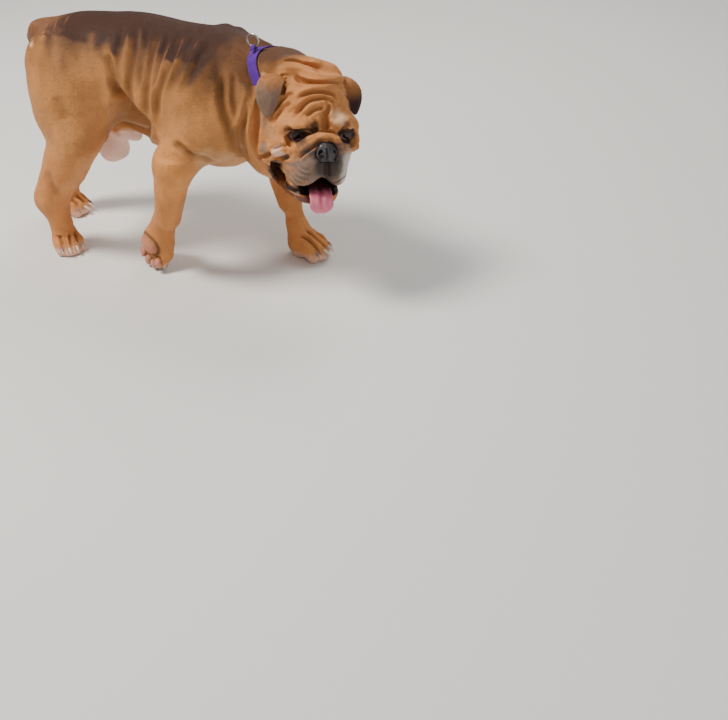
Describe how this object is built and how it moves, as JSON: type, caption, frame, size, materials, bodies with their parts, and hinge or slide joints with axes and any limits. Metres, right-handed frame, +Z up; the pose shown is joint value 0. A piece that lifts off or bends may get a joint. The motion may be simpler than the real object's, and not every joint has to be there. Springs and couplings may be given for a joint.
{
  "type": "bulldog figure",
  "caption": "Life-size still figure of a young English bulldog walking with its head turned to one side and its tongue out, wearing a webbing collar with a ring.",
  "frame": {"origin": "middle of the underside of the whole figure's box, on the floor", "axes": "+X forward along the back, +Y to the dog's left, +Z up"},
  "size_m": [0.6888, 0.3022, 0.4383],
  "materials": {
    "coat": "matt",
    "pale_skin": "soft",
    "nose": "satin",
    "eye": "gloss",
    "tongue": "satin",
    "claw": "satin",
    "webbing": "matt",
    "steel": "satin",
    "clasp": "matt"
  },
  "bodies": {
    "root": {"torso": "coat", "neck": "coat", "head": "coat", "lower_jaw": "coat", "ear_right": "coat", "ear_left": "coat", "eye_right": "eye", "eye_left": "eye", "nose": "nose", "tongue": "tongue", "tail": "coat", "sheath": "pale_skin", "scrotum": "pale_skin", "foreleg_right": "coat", "foreleg_left": "coat", "hindleg_right": "coat", "hindleg_left": "coat", "forepaw_right": "coat", "foreclaw_right_1": "claw", "foreclaw_right_2": "claw", "foreclaw_right_3": "claw", "foreclaw_right_4": "claw", "forepaw_left": "coat", "foreclaw_left_1": "claw", "foreclaw_left_2": "claw", "foreclaw_left_3": "claw", "foreclaw_left_4": "claw", "hindpaw_right": "coat", "hindclaw_right_1": "claw", "hindclaw_right_2": "claw", "hindclaw_right_3": "claw", "hindclaw_right_4": "claw", "hindpaw_left": "coat", "hindclaw_left_1": "claw", "hindclaw_left_2": "claw", "hindclaw_left_3": "claw", "hindclaw_left_4": "claw", "collar_band": "webbing", "collar_keeper": "webbing", "collar_ring": "steel", "collar_buckle": "clasp"}
  },
  "joints": []
}
